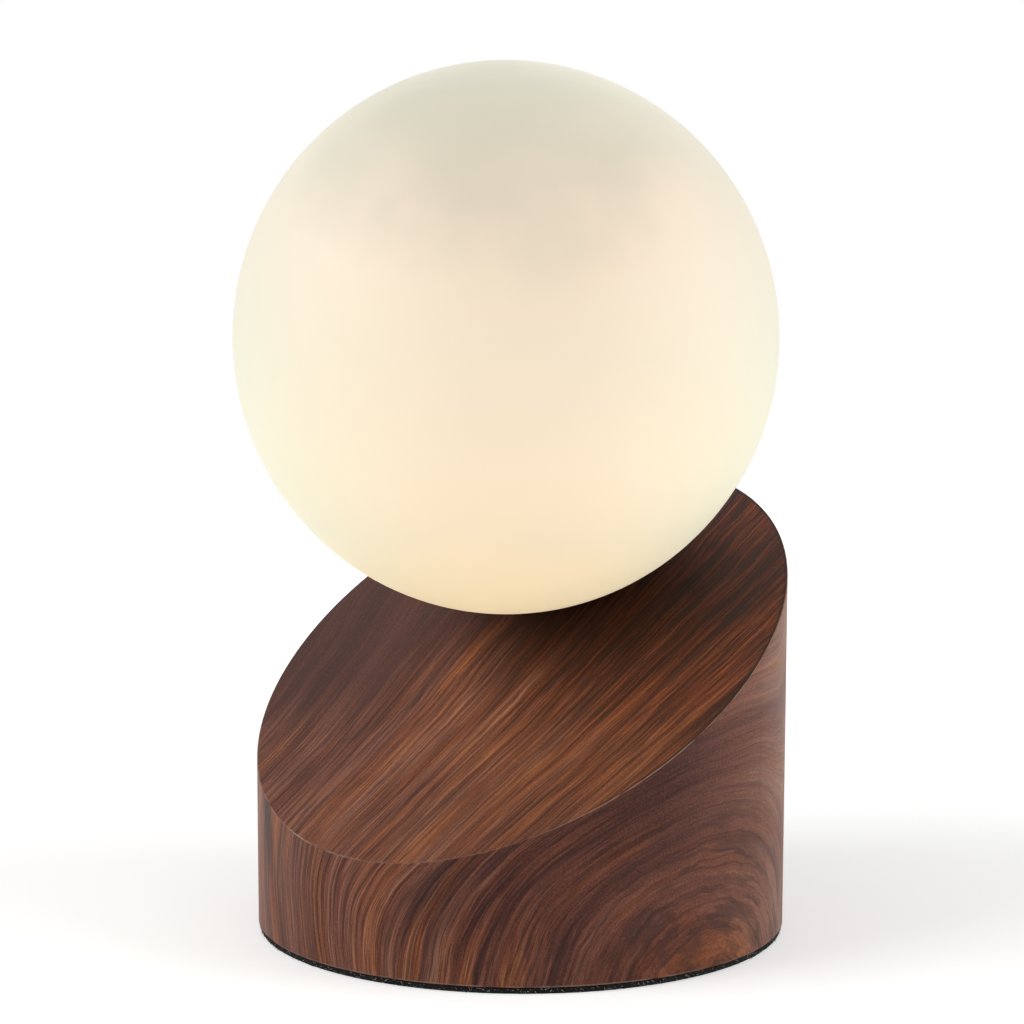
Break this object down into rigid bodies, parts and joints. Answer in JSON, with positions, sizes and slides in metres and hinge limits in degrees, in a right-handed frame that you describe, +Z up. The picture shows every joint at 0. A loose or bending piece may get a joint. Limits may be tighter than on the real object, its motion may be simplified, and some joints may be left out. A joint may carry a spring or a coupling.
{
  "type": "table lamp",
  "caption": "Table lamp: an opal glass globe stands on the sloping face of an obliquely cut round wooden base, which is hollow and holds a plug-in bulb, its holder and the wiring.",
  "frame": {"origin": "middle of the base's underside, on the table", "axes": "+Z up; +Y up the slope, towards the mains inlet; the low side faces -Y and the lamp is symmetrical about X = 0"},
  "size_m": [0.1, 0.1063, 0.1592],
  "materials": {
    "dark_wood": "satin dark wood grain",
    "black_felt": "rough felt",
    "plated_steel": "zinc plated",
    "black_rubber": "matt rubber",
    "white_plastic": "matt moulded",
    "plain_brass": "plain",
    "black_metal": "satin black paint",
    "white_ceramic": "unglazed",
    "brown_sleeve": "silicone sleeve",
    "blue_sleeve": "silicone sleeve",
    "opal_glass": "satin opal glass, lit from inside",
    "bulb_plastic": "gloss moulded",
    "frosted_cover": "frosted",
    "board_white": "white board",
    "chip_yellow": "phosphor"
  },
  "bodies": {
    "base": {"wooden_base": "dark_wood", "felt_pad": "black_felt", "bottom_plate": "plated_steel", "plate_screws": "plated_steel", "inlet_bushing": "black_rubber", "terminal_block": "white_plastic", "terminal_clamps": "plain_brass", "terminal_screws": "plated_steel", "terminal_fixing_screw": "plated_steel", "globe_collar": "black_metal", "hollow_tube": "plated_steel", "lock_washer": "plated_steel", "tube_nut": "plated_steel", "holder_bracket": "plated_steel", "lampholder": "white_ceramic", "holder_contacts": "plain_brass", "holder_screws": "plated_steel", "live_lead": "brown_sleeve", "neutral_lead": "blue_sleeve"},
    "gasket": {"globe_gasket": "black_rubber"},
    "globe": {"glass_globe": "opal_glass"},
    "bulb": {"bulb_base": "bulb_plastic", "bulb_cover": "frosted_cover", "bulb_pins": "plated_steel", "led_board": "board_white", "led_chips": "chip_yellow"}
  },
  "joints": [
    {"name": "globe_lift", "type": "slide", "parent": "base", "child": "gasket", "axis": [0, -0.5505, 0.8348], "range_m": [0, 0.09]},
    {"name": "globe_turn", "type": "hinge", "parent": "gasket", "child": "globe", "pos_m": [0, 0.02171, 0.06801], "axis": [0, -0.5505, 0.8348], "range_deg": [0, 540]},
    {"name": "bulb_pull", "type": "slide", "parent": "base", "child": "bulb", "axis": [0, -0.5505, 0.8348], "range_m": [0, 0.02]}
  ]
}
